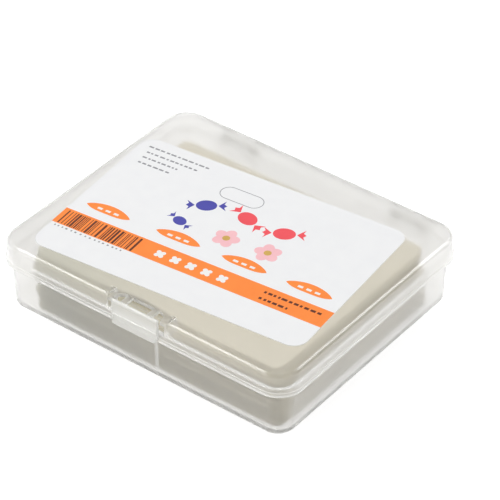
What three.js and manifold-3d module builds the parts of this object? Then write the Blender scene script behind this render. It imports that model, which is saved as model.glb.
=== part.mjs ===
// A clear hinged plastic box, shut by a swinging latch, with a stack of thin
// edible wafer sheets inside and a white sticker on its lid.
// Millimetres. +Z is up, +X runs along the latch side and the latch faces -Y.
// The origin is on the table, under the middle of the tray.

import * as THREE from 'three';
import { mergeVertices } from 'three/addons/utils/BufferGeometryUtils.js';
import Module from 'manifold-3d';

const wasm = await Module();
wasm.setup();

// ---------------------------------------------------------------- sizes

const boxWidth = 90;
const boxDepth = 75;
const boxHeight = 20;
const cornerRadius = 7;
const smallestCorner = 1;
const cornerSteps = 7;
const filletSteps = 4;
const cutSlack = 2;
const weldDistance = 1e-4;

// lid
const seamHeight = 13.5;
const lidWall = 1;
const lidDraft = 0.5;
const lidTopThickness = 1.1;
const lidTopFillet = 1.2;
const lidInnerFillet = 0.8;
const lipRound = 0.25;

// tray
const rimHeight = 15;
const trayWall = 1.1;
const trayRimInset = 1.5;
const trayFootInset = 2;
const trayFootFillet = 1.5;
const trayFloor = 1.2;
const trayInnerFillet = 0.6;
const rimRound = 0.3;

// latch and the gap in the lid's front that it hangs in
const latchHalfWidth = 6.9;
const latchThickness = 1;
const latchAxisY = -37.3;
const latchAxisZ = 19.4;
const latchKnuckleRadius = 0.6;
const knuckleFrom = -33;
const knuckleTo = 213;
const knuckleSteps = 12;
const latchFoot = 13.05;
const latchLipReach = 0.45;
const latchLipHeight = 1.1;
const latchLipRise = 0.3;
const latchLipBevel = 0.2;
const hookReach = 0.25;
const hookHeight = 0.6;
const latchClearance = 0.35;
const notchTop = 15.8;
const windowHalfWidth = 7.3;
const windowCorner = 2.2;
const windowBack = -33.9;
const windowDepth = 8;
const notchDepth = 1.7;
const sideGapHalfWidth = 8.8;
const sideGapTop = 18.7;
const strapX = 4;
const strapWidth = 1.5;
const strapTop = 19.9;
const strapThickness = 0.9;
const strapFront = -36.4;
const strapRoot = 0.8;
const cheekThickness = 0.9;
const cheekFront = -37.05;
const cheekBack = -33.1;
const cheekFoot = 15.7;
const cheekTop = 20.5;
const cheekRound = 1.6;
const cheekFootRound = 1;
const cheekSteps = 6;
const cheekOverlap = 0.05;

// catch on the tray's front
const padHalfWidth = 5;
const padRootHalfWidth = 5.9;
const padFoot = 1.6;
const padTop = 13.4;
const padProud = 0.3;
const padRunOut = 1.2;
const padSink = 0.05;
const ridgeHalfWidth = 5.4;
const ridgeFoot = 13.95;
const ridgeTop = 14.6;
const ridgeProud = 0.5;

// hinge at the back
const hingeX = 27;
const hingeAxisY = 39.6;
const hingeAxisZ = 12.6;
const barrelRadius = 1.5;
const barrelHalfLength = 4;
const stubRadius = 0.8;
const stubLength = 1.1;
const runningGap = 0.3;
const earRadius = 1.9;
const earThickness = 1.6;
const earRoot = 4.8;
const earFrom = -70;
const earSteps = 16;
const armRoot = 0.2;
const armTopRise = 4.2;
const armTopReach = 0.6;
// where the arm meets its barrel, in barrel radii from the barrel's axis
const armInnerEnd = [-0.8, 0.2];
const armOuterEnd = [0.5, 0.7];
const roundSteps = 24;

// wafer sheets
const sheetWidth = 74.4;
const sheetDepth = 59.6;
const sheetCorner = 2;
const stackCentre = [-0.1, -0.5];
const stackFoot = 1.25;
const stackTop = 15.9;
const bundleCount = 14;
const bundleShift = 0.22;
const bundleBevel = 0.14;
const bundleGap = 0.02;
const shiftRateX = 2.4;
const shiftRateY = 1.7;
const shiftStartY = 0.6;
const slide = [3.9, -3.6];
const slideFullBelow = 11.2;
const slideNoneAbove = 13.6;
const slideMean = 0.78;
const slideSpread = 0.22;
const slideRate = 2.1;
const slideStartY = 1.2;
const footSlide = 0.9;

// sticker
const labelWidth = 78;
const labelDepth = 53;
const labelCorner = 4;
const labelCentre = [-1.2, -2.6];
const labelTurn = 5.3;
const labelThickness = 0.15;
const labelLift = 0.05;

// ------------------------------------------------------------ materials

const clearPlastic = new THREE.MeshStandardMaterial({
  color: 0xe6e6e2,
  roughness: 0.25,
  metalness: 0,
  transparent: true,
  opacity: 0.35,
});
const latchPlastic = new THREE.MeshStandardMaterial({
  color: 0xebebe8,
  roughness: 0.3,
  metalness: 0,
  transparent: true,
  opacity: 0.55,
});
const waferPaper = new THREE.MeshStandardMaterial({ color: 0xdcd8c6, roughness: 0.6, metalness: 0 });
const stickerPaper = new THREE.MeshStandardMaterial({ color: 0xf2f2f2, roughness: 0.45, metalness: 0 });

// -------------------------------------------------------------- helpers

// the points of a rectangle with round corners, counter-clockwise from above
function roundedRing(width, depth, radius, centre = [0, 0]) {
  const ring = [];
  for (let quarter = 0; quarter < 4; quarter += 1) {
    const signX = quarter === 0 || quarter === 3 ? 1 : -1;
    const signY = quarter < 2 ? 1 : -1;
    for (let step = 0; step <= cornerSteps; step += 1) {
      const angle = (quarter + step / cornerSteps) * Math.PI / 2;
      ring.push([
        centre[0] + signX * (width / 2 - radius) + radius * Math.cos(angle),
        centre[1] + signY * (depth / 2 - radius) + radius * Math.sin(angle),
      ]);
    }
  }
  return ring;
}

// one closed skin through a row of rings, with a fan at each end
function loftRings(rings) {
  const count = rings[0].points.length;
  const positions = [];
  const faces = [];
  for (const ring of rings) {
    for (const [x, y] of ring.points) positions.push(x, y, ring.z);
  }
  for (let level = 0; level + 1 < rings.length; level += 1) {
    for (let i = 0; i < count; i += 1) {
      const a = level * count + i;
      const b = level * count + (i + 1) % count;
      faces.push(a, b, b + count, a, b + count, a + count);
    }
  }
  for (const [level, first] of [[0, true], [rings.length - 1, false]]) {
    const ring = rings[level];
    const middle = positions.length / 3;
    const sumX = ring.points.reduce((sum, point) => sum + point[0], 0);
    const sumY = ring.points.reduce((sum, point) => sum + point[1], 0);
    positions.push(sumX / count, sumY / count, ring.z);
    for (let i = 0; i < count; i += 1) {
      const a = level * count + i;
      const b = level * count + (i + 1) % count;
      if (first) faces.push(middle, b, a);
      else faces.push(middle, a, b);
    }
  }
  const geometry = new THREE.BufferGeometry();
  geometry.setAttribute('position', new THREE.Float32BufferAttribute(positions, 3));
  geometry.setIndex(faces);
  if (signedVolume(geometry) < 0) flipFaces(geometry);
  return geometry;
}

function signedVolume(geometry) {
  const position = geometry.getAttribute('position');
  const index = geometry.getIndex();
  const [a, b, c] = [new THREE.Vector3(), new THREE.Vector3(), new THREE.Vector3()];
  let volume = 0;
  for (let i = 0; i < index.count; i += 3) {
    a.fromBufferAttribute(position, index.getX(i));
    b.fromBufferAttribute(position, index.getX(i + 1));
    c.fromBufferAttribute(position, index.getX(i + 2));
    volume += a.dot(b.cross(c)) / 6;
  }
  return volume;
}

function flipFaces(geometry) {
  const index = geometry.getIndex();
  for (let i = 0; i < index.count; i += 3) {
    const second = index.getX(i + 1);
    index.setX(i + 1, index.getX(i + 2));
    index.setX(i + 2, second);
  }
}

// a skin whose wall follows a profile of [inset from the outer edge, height]
function boxSkin(profile) {
  const rings = profile.map(([inset, z]) => {
    const radius = Math.max(cornerRadius - inset, smallestCorner);
    return { z, points: roundedRing(boxWidth - 2 * inset, boxDepth - 2 * inset, radius) };
  });
  return loftRings(rings);
}

// quarter circle of [inset, z] points, from angle to angle in degrees
function filletPoints(inset, z, radius, from, to) {
  const points = [];
  for (let step = 0; step <= filletSteps; step += 1) {
    const angle = THREE.MathUtils.degToRad(from + (to - from) * step / filletSteps);
    points.push([inset - radius * Math.cos(angle), z + radius * Math.sin(angle)]);
  }
  return points;
}

// an outline in the Y-Z plane, extruded along X and centred on a given X
function plateAlongX(outline, thickness, centreX) {
  const shape = new THREE.Shape(outline.map(([y, z]) => new THREE.Vector2(y, z)));
  const geometry = new THREE.ExtrudeGeometry(shape, { depth: thickness, bevelEnabled: false });
  const place = new THREE.Matrix4().set(
    0, 0, 1, centreX - thickness / 2,
    1, 0, 0, 0,
    0, 1, 0, 0,
    0, 0, 0, 1,
  );
  return geometry.applyMatrix4(place);
}

function arcPoints(centreY, centreZ, radius, from, to, steps) {
  const points = [];
  for (let step = 0; step <= steps; step += 1) {
    const angle = THREE.MathUtils.degToRad(from + (to - from) * step / steps);
    points.push([centreY + radius * Math.cos(angle), centreZ + radius * Math.sin(angle)]);
  }
  return points;
}

function rodAlongX(radius, length, x, y, z) {
  const geometry = new THREE.CylinderGeometry(radius, radius, length, roundSteps);
  return geometry.rotateZ(Math.PI / 2).translate(x, y, z);
}

function block(lowX, highX, lowY, highY, lowZ, highZ) {
  const geometry = new THREE.BoxGeometry(highX - lowX, highY - lowY, highZ - lowZ);
  return geometry.translate((lowX + highX) / 2, (lowY + highY) / 2, (lowZ + highZ) / 2);
}

function toSolid(geometry) {
  const bare = geometry.clone();
  bare.deleteAttribute('normal');
  bare.deleteAttribute('uv');
  const welded = mergeVertices(bare, weldDistance);
  return new wasm.Manifold(new wasm.Mesh({
    numProp: 3,
    vertProperties: new Float32Array(welded.getAttribute('position').array),
    triVerts: new Uint32Array(welded.getIndex().array),
  }));
}

function toGeometry(solid) {
  const mesh = solid.getMesh();
  const geometry = new THREE.BufferGeometry();
  geometry.setAttribute('position', new THREE.Float32BufferAttribute(mesh.vertProperties, 3));
  geometry.setIndex(new THREE.Uint32BufferAttribute(mesh.triVerts, 1));
  geometry.computeVertexNormals();
  return geometry;
}

function join(solid, geometries) {
  return geometries.reduce((sum, geometry) => sum.add(toSolid(geometry)), solid);
}

function cut(solid, geometries) {
  return geometries.reduce((rest, geometry) => rest.subtract(toSolid(geometry)), solid);
}

// ------------------------------------------------------------------ tray

function traySkin() {
  const innerRim = trayRimInset + trayWall;
  const innerFoot = trayFootInset + trayWall;
  return boxSkin([
    ...filletPoints(trayFootInset + trayFootFillet, trayFootFillet, trayFootFillet, -90, 0),
    [trayRimInset, rimHeight - rimRound],
    [trayRimInset + rimRound, rimHeight],
    [innerRim - rimRound, rimHeight],
    [innerRim, rimHeight - rimRound],
    ...filletPoints(innerFoot + trayInnerFillet, trayFloor + trayInnerFillet, trayInnerFillet, 0, -90),
  ]);
}

// two ears hold each barrel of the lid by its stubs
function trayEars() {
  const wallY = boxDepth / 2 - trayRimInset - trayWall / 2;
  const outline = [
    [wallY, hingeAxisZ],
    [wallY, hingeAxisZ - earRoot],
    ...arcPoints(hingeAxisY, hingeAxisZ, earRadius, earFrom, 180, earSteps),
  ];
  const offset = barrelHalfLength + runningGap + earThickness / 2;
  return hingeSides().flatMap((x) => [
    plateAlongX(outline, earThickness, x - offset),
    plateAlongX(outline, earThickness, x + offset),
  ]);
}

function trayStubHoles() {
  const radius = stubRadius + runningGap;
  const halfLength = barrelHalfLength + stubLength + runningGap;
  return hingeSides().map((x) => rodAlongX(radius, 2 * halfLength, x, hingeAxisY, hingeAxisZ));
}

function hingeSides() {
  return [-hingeX, hingeX];
}

// the outer face of the tray's front wall leans out a little towards the rim
function trayFrontY(z) {
  const rise = (z - trayFootFillet) / (rimHeight - rimRound - trayFootFillet);
  const inset = trayFootInset + rise * (trayRimInset - trayFootInset);
  return inset - boxDepth / 2;
}

// a shallow pad with sloping sides, which runs out into the wall at its foot
function trayPad() {
  const levels = [[padFoot, -padSink], [padFoot + padRunOut, padProud], [padTop, padProud]];
  return loftRings(levels.map(([z, proud]) => {
    const wallY = trayFrontY(z);
    return {
      z,
      points: [
        [-padRootHalfWidth, wallY + trayWall / 2],
        [-padRootHalfWidth, wallY + padSink],
        [-padHalfWidth, wallY - proud],
        [padHalfWidth, wallY - proud],
        [padRootHalfWidth, wallY + padSink],
        [padRootHalfWidth, wallY + trayWall / 2],
      ],
    };
  }));
}

function trayCatch() {
  const rimY = trayFrontY(rimHeight - rimRound);
  const rootY = rimY + trayWall / 2;
  const ridge = [
    [rootY, ridgeFoot],
    [rootY, ridgeTop],
    [rimY, ridgeTop],
    [rimY - ridgeProud, (ridgeFoot + ridgeTop) / 2],
    [rimY - ridgeProud, ridgeFoot],
  ];
  return [trayPad(), plateAlongX(ridge, 2 * ridgeHalfWidth, 0)];
}

function makeTray() {
  const joined = join(toSolid(traySkin()), [...trayEars(), ...trayCatch()]);
  return toGeometry(cut(joined, trayStubHoles()));
}

// ------------------------------------------------------------------- lid

function lidSkin() {
  const innerTop = lidWall + lidDraft;
  const ceiling = boxHeight - lidTopThickness;
  return boxSkin([
    ...filletPoints(lidDraft + lidTopFillet, boxHeight - lidTopFillet, lidTopFillet, 90, 0),
    [0, seamHeight + lipRound],
    [lipRound, seamHeight],
    [lidWall - lipRound, seamHeight],
    [lidWall, seamHeight + lipRound],
    ...filletPoints(innerTop + lidInnerFillet, ceiling - lidInnerFillet, lidInnerFillet, 0, 90),
  ]);
}

// the open window above the latch, the notch that its plate hangs in, and the
// wider gap in the front wall beside the plate
function lidLatchGap() {
  const outside = -boxDepth / 2 - cutSlack;
  const notchHalf = latchHalfWidth + latchClearance;
  const notchBack = -boxDepth / 2 + notchDepth;
  const windowCentre = [0, windowBack - windowDepth / 2];
  const points = roundedRing(2 * windowHalfWidth, windowDepth, windowCorner, windowCentre);
  return [
    loftRings([{ z: notchTop, points }, { z: boxHeight + cutSlack, points }]),
    block(-notchHalf, notchHalf, outside, notchBack, seamHeight - cutSlack, notchTop + latchClearance),
    block(-sideGapHalfWidth, sideGapHalfWidth, outside, notchBack, notchTop, sideGapTop),
  ];
}

function lidCheeks() {
  const topZ = cheekTop - cheekRound;
  const outline = [
    [cheekFront, cheekFoot],
    ...arcPoints(cheekBack - cheekFootRound, cheekFoot + cheekFootRound, cheekFootRound, -90, 0, cheekSteps),
    ...arcPoints(cheekBack - cheekRound, topZ, cheekRound, 0, 90, cheekSteps),
    ...arcPoints(cheekFront + cheekRound, topZ, cheekRound, 90, 180, cheekSteps),
  ];
  const offset = sideGapHalfWidth + cheekThickness / 2 - cheekOverlap;
  return [-offset, offset].map((x) => plateAlongX(outline, cheekThickness, x));
}

function lidStraps() {
  const low = strapTop - strapThickness;
  return [-strapX, strapX].map((x) => block(
    x - strapWidth / 2,
    x + strapWidth / 2,
    strapFront,
    windowBack + strapRoot,
    low,
    strapTop,
  ));
}

// each barrel sits on an arm that leaves the lid's back wall
function lidBarrels() {
  const wallY = boxDepth / 2 - lidWall / 2;
  const armTop = hingeAxisZ + armTopRise;
  const outline = [
    [wallY, seamHeight + armRoot],
    [hingeAxisY + armInnerEnd[0] * barrelRadius, hingeAxisZ + armInnerEnd[1] * barrelRadius],
    [hingeAxisY + armOuterEnd[0] * barrelRadius, hingeAxisZ + armOuterEnd[1] * barrelRadius],
    [wallY + armTopReach, armTop],
    [wallY, armTop],
  ];
  return hingeSides().flatMap((x) => [
    plateAlongX(outline, 2 * barrelHalfLength, x),
    rodAlongX(barrelRadius, 2 * barrelHalfLength, x, hingeAxisY, hingeAxisZ),
    rodAlongX(stubRadius, 2 * (barrelHalfLength + stubLength), x, hingeAxisY, hingeAxisZ),
  ]);
}

function makeLid() {
  const opened = cut(toSolid(lidSkin()), lidLatchGap());
  return toGeometry(join(opened, [...lidCheeks(), ...lidStraps(), ...lidBarrels()]));
}

// ----------------------------------------------------------------- latch

function makeLatch() {
  const outer = latchAxisY - latchThickness / 2;
  const inner = latchAxisY + latchThickness / 2;
  const outline = [
    [outer, latchFoot + latchLipHeight],
    [outer - latchLipReach, latchFoot + latchLipRise],
    [outer - latchLipReach + latchLipBevel, latchFoot],
    [inner + hookReach, latchFoot],
    [inner + hookReach, latchFoot + hookHeight],
    [inner, latchFoot + hookHeight + latchLipBevel],
    ...arcPoints(latchAxisY, latchAxisZ, latchKnuckleRadius, knuckleFrom, knuckleTo, knuckleSteps),
  ];
  return toGeometry(toSolid(plateAlongX(outline, 2 * latchHalfWidth, 0)));
}

// ---------------------------------------------------------- wafer sheets

// how far a bundle has slid, as a share of the whole slide
function slideShare(bundle, low, start) {
  const held = (slideNoneAbove - low) / (slideNoneAbove - slideFullBelow);
  const share = slideMean + slideSpread * Math.sin(bundle * slideRate + start);
  return Math.min(Math.max(held, 0), 1) * Math.min(share, bundle === 0 ? footSlide : 1);
}

// the bundles of sheets sit a little off each other, and the lower ones have
// slid towards the tray's front right corner
function makeStack() {
  const rings = [];
  const step = (stackTop - stackFoot) / bundleCount;
  const innerWidth = sheetWidth - 2 * bundleBevel;
  const innerDepth = sheetDepth - 2 * bundleBevel;
  for (let bundle = 0; bundle < bundleCount; bundle += 1) {
    const low = stackFoot + bundle * step;
    const shiftX = bundleShift * Math.sin(bundle * shiftRateX) + slide[0] * slideShare(bundle, low, 0);
    const shiftY = bundleShift * Math.cos(bundle * shiftRateY + shiftStartY)
      + slide[1] * slideShare(bundle, low, slideStartY);
    const centre = [stackCentre[0] + shiftX, stackCentre[1] + shiftY];
    const inner = roundedRing(innerWidth, innerDepth, sheetCorner, centre);
    const full = roundedRing(sheetWidth, sheetDepth, sheetCorner, centre);
    rings.push({ z: low + bundleGap, points: inner });
    rings.push({ z: low + bundleBevel, points: full });
    rings.push({ z: low + step - bundleBevel, points: full });
    rings.push({ z: low + step - bundleGap, points: inner });
  }
  return loftRings(rings);
}

// --------------------------------------------------------------- sticker

function makeLabel() {
  const points = roundedRing(labelWidth, labelDepth, labelCorner);
  return loftRings([{ z: 0, points }, { z: labelThickness, points }]);
}

// ----------------------------------------------------------------- model

const model = new THREE.Group();

function addPart(name, geometry, material) {
  const mesh = new THREE.Mesh(geometry, material);
  mesh.name = name;
  model.add(mesh);
  return mesh;
}

addPart('box_base', makeTray(), clearPlastic);
addPart('wafer_stack', makeStack(), waferPaper);
addPart('box_lid', makeLid(), clearPlastic);
addPart('latch_flap', makeLatch(), latchPlastic);

const label = addPart('lid_label', makeLabel(), stickerPaper);
label.position.set(labelCentre[0], labelCentre[1], boxHeight + labelLift);
label.rotation.z = THREE.MathUtils.degToRad(labelTurn);

export default model;
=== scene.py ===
import math

import bmesh
import bpy
import numpy as np
from mathutils import Matrix, Vector


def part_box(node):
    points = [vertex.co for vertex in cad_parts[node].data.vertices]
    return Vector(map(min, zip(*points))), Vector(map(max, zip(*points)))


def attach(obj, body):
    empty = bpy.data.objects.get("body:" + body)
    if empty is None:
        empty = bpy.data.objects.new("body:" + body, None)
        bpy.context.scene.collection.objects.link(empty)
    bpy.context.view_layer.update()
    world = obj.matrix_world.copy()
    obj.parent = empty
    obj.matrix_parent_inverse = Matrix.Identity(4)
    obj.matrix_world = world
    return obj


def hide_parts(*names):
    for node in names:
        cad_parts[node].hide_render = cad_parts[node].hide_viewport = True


# A clear hinged box of thin edible wafer sheets, with a sticker on its lid.
# Sizes are in millimetres, except in the studio's dictionary, which is in metres like the scene.

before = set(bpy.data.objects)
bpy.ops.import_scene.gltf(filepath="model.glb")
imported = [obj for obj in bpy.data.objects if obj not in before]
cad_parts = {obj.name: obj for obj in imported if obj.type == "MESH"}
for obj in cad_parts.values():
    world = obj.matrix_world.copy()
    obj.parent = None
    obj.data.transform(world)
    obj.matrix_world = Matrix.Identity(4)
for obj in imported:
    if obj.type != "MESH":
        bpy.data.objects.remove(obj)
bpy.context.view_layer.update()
mm = 0.001
squareCorners = ((-1, -1), (1, -1), (1, 1), (-1, 1))


def nodeBox(node):
    low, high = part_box(node)
    return low / mm, high / mm


baseHigh = nodeBox("box_base")[1]
lidLow, lidHigh = nodeBox("box_lid")
latchLow, latchHigh = nodeBox("latch_flap")
stackLow, stackHigh = nodeBox("wafer_stack")
labelLow, labelHigh = nodeBox("lid_label")


def addNode(tree, kind, values=None, **settings):
    node = tree.nodes.new(kind)
    for key, value in settings.items():
        setattr(node, key, value)
    for socket, value in (values or {}).items():
        if isinstance(value, bpy.types.NodeSocket):
            tree.links.new(value, node.inputs[socket])
        else:
            node.inputs[socket].default_value = value
    return node


camera = {
    "azimuth": 37.12,
    "elevation": 37.63,
    "roll": 0.55,
    "distance": 691.3,
    "slide": (4.92, 4.20),
    "aimHeight": 10.0,
    "lens": 199.45,
    "sensor": 36.0,
    "clip": (10.0, 50000.0),
}


def buildCamera():
    azimuth = math.radians(camera["azimuth"])
    elevation = math.radians(camera["elevation"])
    roll = math.radians(camera["roll"])
    back = Vector((
        math.sin(azimuth) * math.cos(elevation),
        -math.cos(azimuth) * math.cos(elevation),
        math.sin(elevation),
    ))
    right = Vector((math.cos(azimuth), math.sin(azimuth), 0))
    up = back.cross(right)
    rolledRight = right * math.cos(roll) + up * math.sin(roll)
    rolledUp = up * math.cos(roll) - right * math.sin(roll)
    place = back * camera["distance"] + Vector((0, 0, camera["aimHeight"]))
    place += rolledRight * camera["slide"][0] + rolledUp * camera["slide"][1]
    data = bpy.data.cameras.new("productCamera")
    data.sensor_width = camera["sensor"]
    data.lens = camera["lens"]
    data.clip_start, data.clip_end = (reach * mm for reach in camera["clip"])
    eye = bpy.data.objects.new("productCamera", data)
    turn = Matrix((rolledRight, rolledUp, back)).transposed()
    eye.matrix_world = Matrix.Translation(place * mm) @ turn.to_4x4()
    bpy.context.scene.collection.objects.link(eye)
    bpy.context.scene.camera = eye


studio = {
    "skyTop": 0.54,
    "skyHorizon": 0.50,
    "floorSize": 6.0,
    "floorDrop": 0.00005,
    "floorColour": (0.50, 0.50, 0.50),
    "floorGlow": 0.70,
    "floorRoughness": 0.9,
    "floorBounce": (0.70, 0.70, 0.67),
    "aim": (0.0, 0.0, 0.01),
    "lamps": {
        "frontSoftbox": {"place": (-0.38, -0.75, 0.30), "size": (0.7, 0.4), "power": 1.2},
        "leftSoftbox": {"place": (-0.40, -0.17, 0.70), "size": (0.2, 0.7), "power": 2.4},
        "backSoftbox": {"place": (0.25, 0.54, 0.61), "size": (0.6, 0.2), "power": 1.8},
        "rightSoftbox": {"place": (0.72, 0.02, 0.30), "size": (0.5, 0.35), "power": 0.7},
    },
}


def mixShaders(tree, share, first, second):
    mix = tree.nodes.new("ShaderNodeMixShader")
    for index, value in enumerate((share, first, second)):
        tree.links.new(value, mix.inputs[index])
    return mix.outputs[0]


def buildStudio():
    scene = bpy.context.scene
    scene.view_settings.view_transform = "Standard"
    world = bpy.data.worlds.new("paleRoom")
    scene.world = world
    world.use_nodes = True
    tree = world.node_tree
    sky = tree.nodes["Background"]
    place = tree.nodes.new("ShaderNodeTexCoord").outputs["Generated"]
    split = addNode(tree, "ShaderNodeSeparateXYZ", {0: place})
    strength = addNode(tree, "ShaderNodeMapRange", {
        "Value": split.outputs["Z"],
        "To Min": studio["skyHorizon"],
        "To Max": studio["skyTop"],
    })
    tree.links.new(strength.outputs["Result"], sky.inputs["Strength"])
    sky.inputs["Color"].default_value = (1, 1, 1, 1)

    for name, lamp in studio["lamps"].items():
        data = bpy.data.lights.new(name, "AREA")
        data.shape = "RECTANGLE"
        data.size, data.size_y = lamp["size"]
        data.energy = lamp["power"]
        light = bpy.data.objects.new(name, data)
        light.location = lamp["place"]
        back = (Vector(lamp["place"]) - Vector(studio["aim"])).normalized()
        side = Vector((0, 1, 0)).cross(back).normalized()
        turn = Matrix((side, back.cross(side), back)).transposed()
        light.rotation_mode = "QUATERNION"
        light.rotation_quaternion = turn.to_quaternion()
        scene.collection.objects.link(light)


def buildFloor():
    half = studio["floorSize"] / 2
    drop = -studio["floorDrop"]
    mesh = bpy.data.meshes.new("paleFloor")
    corners = [(x * half, y * half, drop) for x, y in squareCorners]
    mesh.from_pydata(corners, [], [(0, 1, 2, 3)])
    floor = bpy.data.objects.new("paleFloor", mesh)
    bpy.context.scene.collection.objects.link(floor)
    paint = bpy.data.materials.new("palePaint")
    paint.use_nodes = True
    shader = paint.node_tree.nodes["Principled BSDF"]
    shader.inputs["Base Color"].default_value = (*studio["floorColour"], 1)
    shader.inputs["Roughness"].default_value = studio["floorRoughness"]
    shader.inputs["Specular IOR Level"].default_value = 0.0
    shader.inputs["Emission Color"].default_value = (1, 1, 1, 1)
    shader.inputs["Emission Strength"].default_value = studio["floorGlow"]
    # the floor throws less light up at the box than it shows
    tree = paint.node_tree
    dull = addNode(tree, "ShaderNodeBsdfDiffuse", {"Color": (*studio["floorBounce"], 1)})
    bounced = tree.nodes.new("ShaderNodeLightPath").outputs["Is Diffuse Ray"]
    surface = mixShaders(tree, bounced, shader.outputs[0], dull.outputs[0])
    tree.links.new(surface, tree.nodes["Material Output"].inputs["Surface"])
    mesh.materials.append(paint)


buildCamera()
buildStudio()
buildFloor()
print("stage: camera, lamps and floor are set")


def makePiece(name, vertices, faces):
    mesh = bpy.data.meshes.new(name)
    mesh.from_pydata([(x * mm, y * mm, z * mm) for x, y, z in vertices], [], faces)
    work = bmesh.new()
    work.from_mesh(mesh)
    bmesh.ops.recalc_face_normals(work, faces=work.faces)
    work.to_mesh(mesh)
    work.free()
    piece = bpy.data.objects.new(name, mesh)
    bpy.context.scene.collection.objects.link(piece)
    return piece


def loftFaces(levels, count):
    faces = [tuple(reversed(range(count)))]
    for level in range(levels - 1):
        low, high = level * count, (level + 1) * count
        for i in range(count):
            j = (i + 1) % count
            faces.append((low + i, low + j, high + j, high + i))
    faces.append(tuple(range((levels - 1) * count, levels * count)))
    return faces


def addSlab(vertices, faces, outline, low, high):
    first = len(vertices)
    for z in (low, high):
        vertices += [(x, y, z) for x, y in outline]
    faces += [tuple(first + v for v in face) for face in loftFaces(2, len(outline))]


def loft(name, rings):
    count = len(rings[0][1])
    vertices = [(x, y, z) for z, outline in rings for x, y in outline]
    return makePiece(name, vertices, loftFaces(len(rings), count))


def roundedOutline(width, depth, radius, steps, centre=(0, 0)):
    points = []
    for quarter, (signX, signY) in enumerate(((1, 1), (-1, 1), (-1, -1), (1, -1))):
        for step in range(steps + 1):
            angle = (quarter + step / steps) * math.pi / 2
            points.append((
                centre[0] + signX * (width / 2 - radius) + radius * math.cos(angle),
                centre[1] + signY * (depth / 2 - radius) + radius * math.sin(angle),
            ))
    return points


def arc(centreA, centreB, radius, start, end, steps):
    points = []
    for step in range(steps + 1):
        angle = math.radians(start + (end - start) * step / steps)
        points.append((centreA + radius * math.cos(angle), centreB + radius * math.sin(angle)))
    return points


def wallFillet(inset, height, radius, start, end, steps=7):
    # an arc in the profile of a box's wall, where 0 degrees points out of the box
    return [(2 * inset - a, b) for a, b in arc(inset, height, radius, start, end, steps)]


def prism(name, near, far):
    return makePiece(name, near + far, loftFaces(2, len(near)))


def prismX(name, outline, lowX, highX):
    return prism(name, [(lowX, y, z) for y, z in outline], [(highX, y, z) for y, z in outline])


def prismY(name, outline, lowY, highY):
    return prism(name, [(x, lowY, z) for x, z in outline], [(x, highY, z) for x, z in outline])


def blockPiece(name, low, high):
    outline = [(low[1], low[2]), (high[1], low[2]), (high[1], high[2]), (low[1], high[2])]
    return prismX(name, outline, low[0], high[0])


def rodX(name, radius, lowX, highX, centreY, centreZ, steps=40):
    return prismX(name, arc(centreY, centreZ, radius, 0, 360, steps)[:-1], lowX, highX)


def finishModifiers(piece):
    graph = bpy.context.evaluated_depsgraph_get()
    finished = bpy.data.meshes.new_from_object(piece.evaluated_get(graph))
    piece.modifiers.clear()
    piece.data = finished


def combine(piece, operation, tools):
    for tool in tools:
        step = piece.modifiers.new("combine", "BOOLEAN")
        step.operation = operation
        step.solver = "EXACT"
        step.object = tool
        finishModifiers(piece)
        bpy.data.objects.remove(tool)


def softenEdges(piece, width, finishes, angle=50, segments=2):
    # the rounded edges take the second of the two finishes
    piece.data.materials.clear()
    for finish in finishes:
        piece.data.materials.append(finish)
    step = piece.modifiers.new("softEdges", "BEVEL")
    step.material = 1
    step.width = width * mm
    step.segments = segments
    step.limit_method = "ANGLE"
    step.angle_limit = math.radians(angle)
    step.use_clamp_overlap = True
    finishModifiers(piece)


def markEdges(piece, isEdge):
    # gives the second finish to the faces that the test picks, from their middle and direction
    for face in piece.data.polygons:
        if isEdge(face.center / mm, face.normal):
            face.material_index = 1


def smoothShade(piece, angle=32):
    piece.data.shade_smooth()
    piece.data.set_sharp_from_angle(angle=math.radians(angle))
    step = piece.modifiers.new("flatFaces", "WEIGHTED_NORMAL")
    step.keep_sharp = True
    step.weight = 90
    finishModifiers(piece)


def newGroup(name, numbers, results):
    # every group takes a place, and gives out numbers that change over the surface
    tree = bpy.data.node_groups.new(name, "ShaderNodeTree")
    tree.interface.new_socket(name="Place", in_out="INPUT", socket_type="NodeSocketVector")
    for socket, value in numbers.items():
        made = tree.interface.new_socket(name=socket, in_out="INPUT", socket_type="NodeSocketFloat")
        made.default_value = value
    for socket in results:
        tree.interface.new_socket(name=socket, in_out="OUTPUT", socket_type="NodeSocketFloat")
    return tree, tree.nodes.new("NodeGroupInput"), tree.nodes.new("NodeGroupOutput")


def ramp(tree, value, limits, unit=1.0):
    # goes from 0 at the first limit to 1 at the second
    return addNode(tree, "ShaderNodeMapRange", {
        "Value": value,
        "From Min": limits[0] * unit,
        "From Max": limits[1] * unit,
    }).outputs["Result"]


def calculate(tree, operation, *values):
    node = addNode(tree, "ShaderNodeMath", dict(enumerate(values)), operation=operation)
    return node.outputs[0]


def bumpNormal(tree, height, depth, strength=1.0):
    bump = addNode(tree, "ShaderNodeBump", {
        "Strength": strength,
        "Distance": depth * mm,
        "Height": height,
    })
    return bump.outputs["Normal"]


def noiseHeight(tree, vector, scale, detail):
    noise = addNode(tree, "ShaderNodeTexNoise", {"Vector": vector, "Scale": scale, "Detail": detail})
    return noise.outputs["Fac"]


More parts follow.
